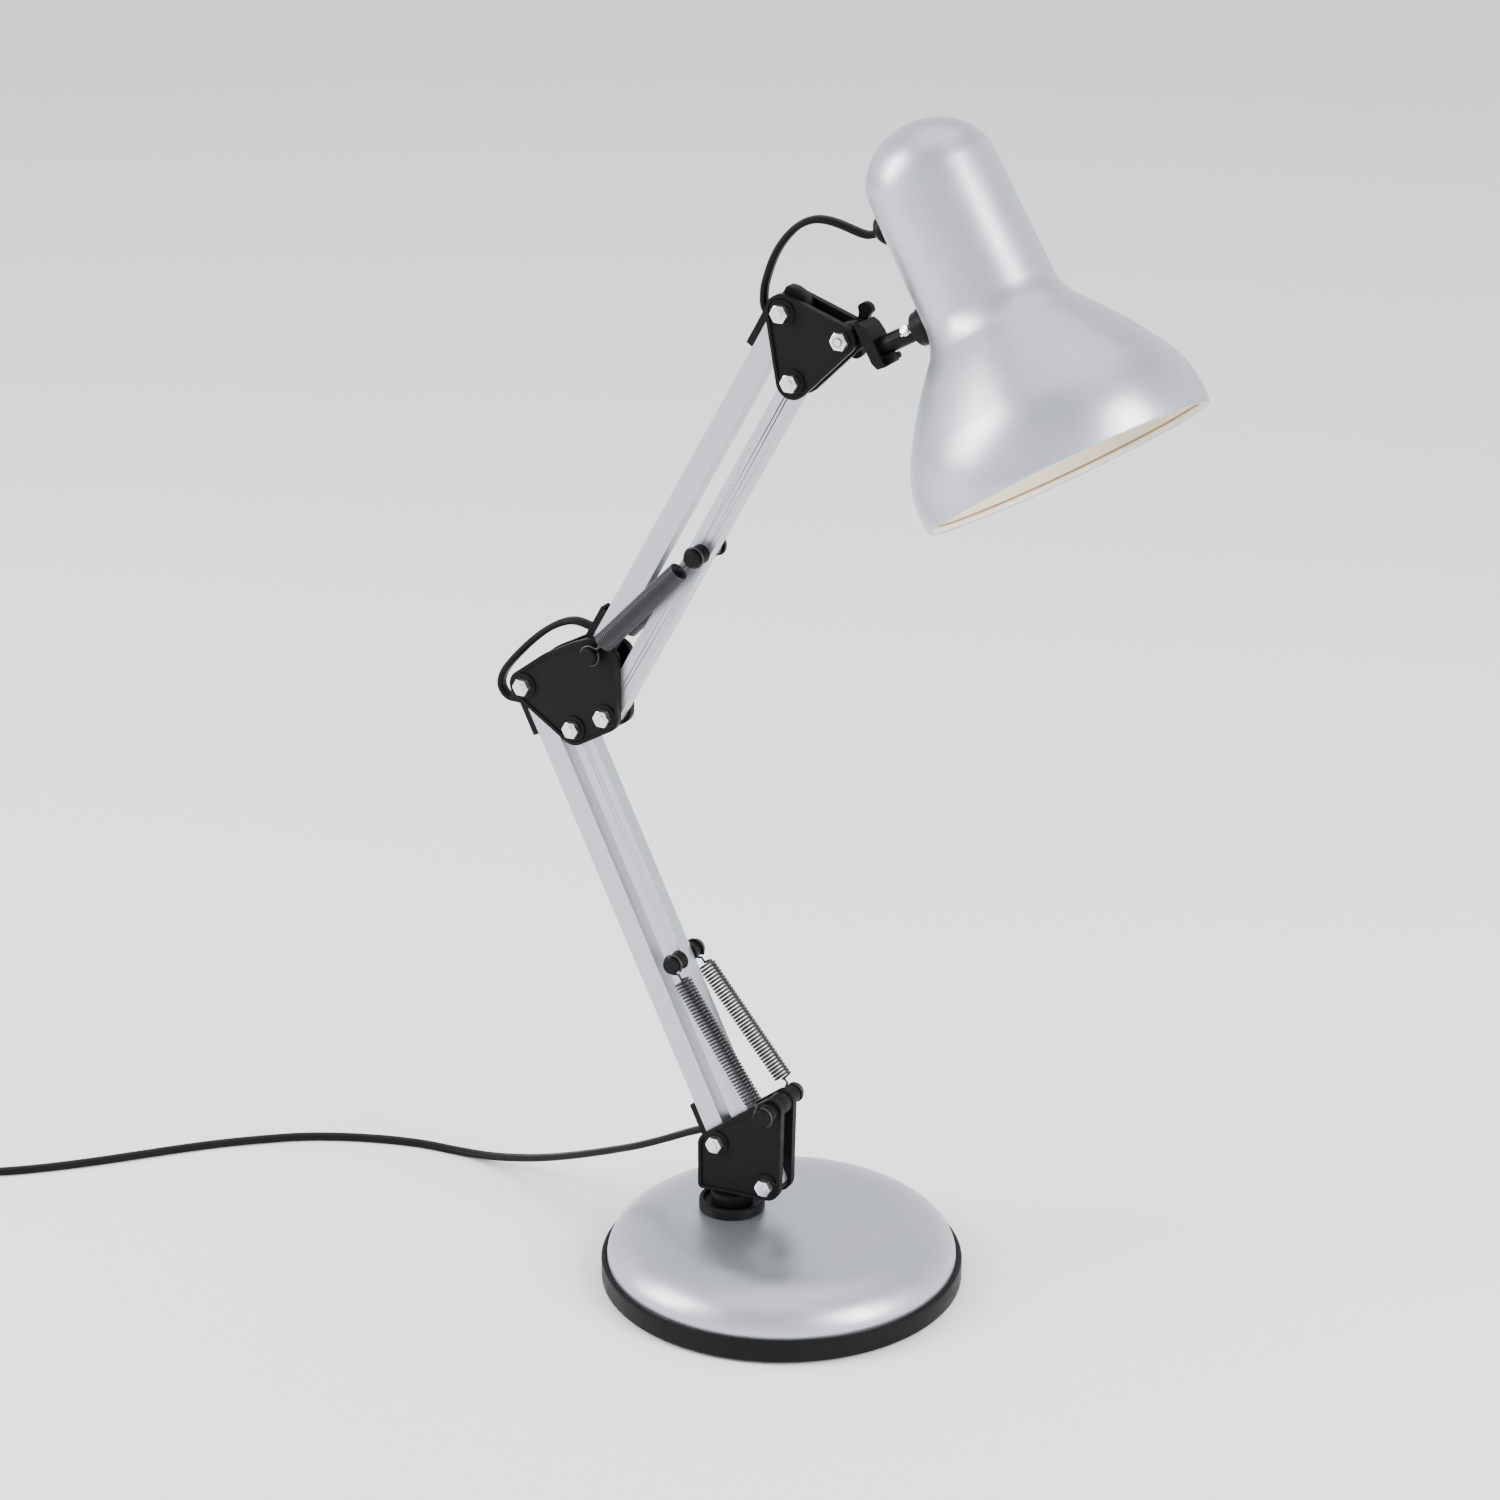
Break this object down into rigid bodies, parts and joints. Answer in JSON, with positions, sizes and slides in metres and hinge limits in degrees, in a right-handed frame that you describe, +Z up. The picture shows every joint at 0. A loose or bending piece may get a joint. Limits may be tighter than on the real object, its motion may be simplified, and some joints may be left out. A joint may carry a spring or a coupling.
{
  "type": "architect desk lamp",
  "caption": "Sprung parallel-arm desk lamp on a round weighted base, with a bell-shaped metal shade that tilts and twists.",
  "frame": {"origin": "centre of the round base on the table", "axes": "+Z up, +X towards the lamp head, -Y the side with the nuts"},
  "size_m": [0.7044, 0.2474, 0.5366],
  "materials": {
    "silver_paint": "satin metallic paint",
    "black_paint": "satin",
    "black_plastic": "satin",
    "zinc": "zinc plated",
    "spring_steel": "black oxide",
    "cast_iron": "raw",
    "felt": "felt",
    "cord_sheath": "soft",
    "thermoplastic": "moulded",
    "brass": "plain",
    "nickel": "plated"
  },
  "bodies": {
    "base": {"base_felt": "felt", "base_tray": "black_paint", "base_screws": "zinc", "base_weight": "cast_iron", "base_cover": "silver_paint", "swivel_collar": "black_plastic", "collar_nut": "zinc", "mains_cord": "cord_sheath", "switch_housing": "thermoplastic", "switch_cord": "cord_sheath", "cord_coil": "cord_sheath", "cord_tie": "cord_sheath", "plug_body": "thermoplastic", "plug_pins": "nickel"},
    "switch_rocker": {"switch_rocker": "thermoplastic"},
    "swivel_bracket": {"swivel_post": "black_plastic", "swivel_screw": "zinc", "lower_cheek_near": "black_plastic", "lower_cheek_far": "black_plastic", "lower_spring_bar": "black_plastic", "lower_bolts": "zinc", "lower_nuts": "zinc"},
    "lower_rear_arm": {"lower_rear_bar": "silver_paint", "lower_rear_plugs": "black_plastic", "lower_arm_lead": "cord_sheath"},
    "lower_front_arm": {"lower_front_bar": "silver_paint", "lower_front_plugs": "black_plastic", "lower_spring_pegs": "black_plastic", "lower_springs": "spring_steel"},
    "elbow": {"elbow_cheek_near": "black_plastic", "elbow_cheek_far": "black_plastic", "elbow_spring_pegs": "black_plastic", "elbow_bolts": "zinc", "elbow_nuts": "zinc", "elbow_lead": "cord_sheath"},
    "upper_rear_arm": {"upper_rear_bar": "silver_paint", "upper_rear_plugs": "black_plastic", "upper_arm_lead": "cord_sheath"},
    "upper_front_arm": {"upper_front_bar": "silver_paint", "upper_front_plugs": "black_plastic", "upper_spring_pegs": "black_plastic", "upper_springs": "spring_steel"},
    "head_bracket": {"head_cheek_near": "black_plastic", "head_cheek_far": "black_plastic", "head_bolts": "zinc", "head_nuts": "zinc", "head_lead": "cord_sheath"},
    "tilt_block": {"tilt_block": "black_plastic"},
    "wing_bolt": {"wing_bolt": "black_plastic"},
    "shade_head": {"head_tube": "black_paint", "tube_flange": "black_paint", "tube_nut": "zinc", "tube_screw": "zinc", "shade": "silver_paint", "grommet": "cord_sheath", "holder_plate": "zinc", "lampholder": "thermoplastic", "holder_contacts": "brass", "holder_lead": "cord_sheath"}
  },
  "joints": [
    {"name": "swivel", "type": "hinge", "parent": "base", "child": "swivel_bracket", "pos_m": [-0.0255, 0, 0.0285], "axis": [0, 0, 1], "range_deg": [-90, 90], "deforming": ["mains_cord"]},
    {"name": "lower_arm", "type": "hinge", "parent": "swivel_bracket", "child": "lower_rear_arm", "pos_m": [-0.0295, 0, 0.0625], "axis": [0, 1, 0], "range_deg": [-11, 13], "deforming": ["mains_cord", "elbow_lead", "lower_springs"]},
    {"name": "lower_link", "type": "hinge", "parent": "swivel_bracket", "child": "lower_front_arm", "pos_m": [-0.0045, 0, 0.0469], "axis": [0, 1, 0], "range_deg": [-11, 13], "deforming": ["lower_springs"]},
    {"name": "elbow_level", "type": "hinge", "parent": "lower_rear_arm", "child": "elbow", "pos_m": [-0.12593, 0, 0.26468], "axis": [0, 1, 0], "range_deg": [-13, 11], "deforming": ["elbow_lead"]},
    {"name": "upper_arm", "type": "hinge", "parent": "elbow", "child": "upper_rear_arm", "pos_m": [-0.08983, 0, 0.28618], "axis": [0, 1, 0], "range_deg": [-17, 60], "deforming": ["elbow_lead", "upper_springs", "head_lead"]},
    {"name": "upper_link", "type": "hinge", "parent": "elbow", "child": "upper_front_arm", "pos_m": [-0.08503, 0, 0.25728], "axis": [0, 1, 0], "range_deg": [-17, 60], "deforming": ["upper_springs"]},
    {"name": "head_level", "type": "hinge", "parent": "upper_rear_arm", "child": "head_bracket", "pos_m": [0.00237, 0, 0.45116], "axis": [0, 1, 0], "range_deg": [-60, 17], "deforming": ["head_lead"]},
    {"name": "head_tilt", "type": "hinge", "parent": "head_bracket", "child": "tilt_block", "pos_m": [0.03007, 0, 0.44326], "axis": [0, 1, 0], "range_deg": [-55, 50], "deforming": ["head_lead"]},
    {"name": "shade_twist", "type": "hinge", "parent": "tilt_block", "child": "shade_head", "pos_m": [0.0477, 0, 0.44252], "axis": [0.8712, 0, 0.4909], "range_deg": [-60, 60], "deforming": ["head_lead"]},
    {"name": "wing_bolt_turn", "type": "hinge", "parent": "head_bracket", "child": "wing_bolt", "pos_m": [0.03007, 0, 0.44326], "axis": [0, 1, 0], "range_deg": [-90, 90]},
    {"name": "switch_rock", "type": "hinge", "parent": "base", "child": "switch_rocker", "pos_m": [-0.41948, -0.12275, 0.01], "axis": [0.5446, -0.8387, 0], "range_deg": [-14, 0]}
  ],
  "couplings": [
    {"joint": "lower_link", "follows": "lower_arm", "ratio": 1},
    {"joint": "elbow_level", "follows": "lower_arm", "ratio": -1},
    {"joint": "upper_link", "follows": "upper_arm", "ratio": 1},
    {"joint": "head_level", "follows": "upper_arm", "ratio": -1}
  ]
}
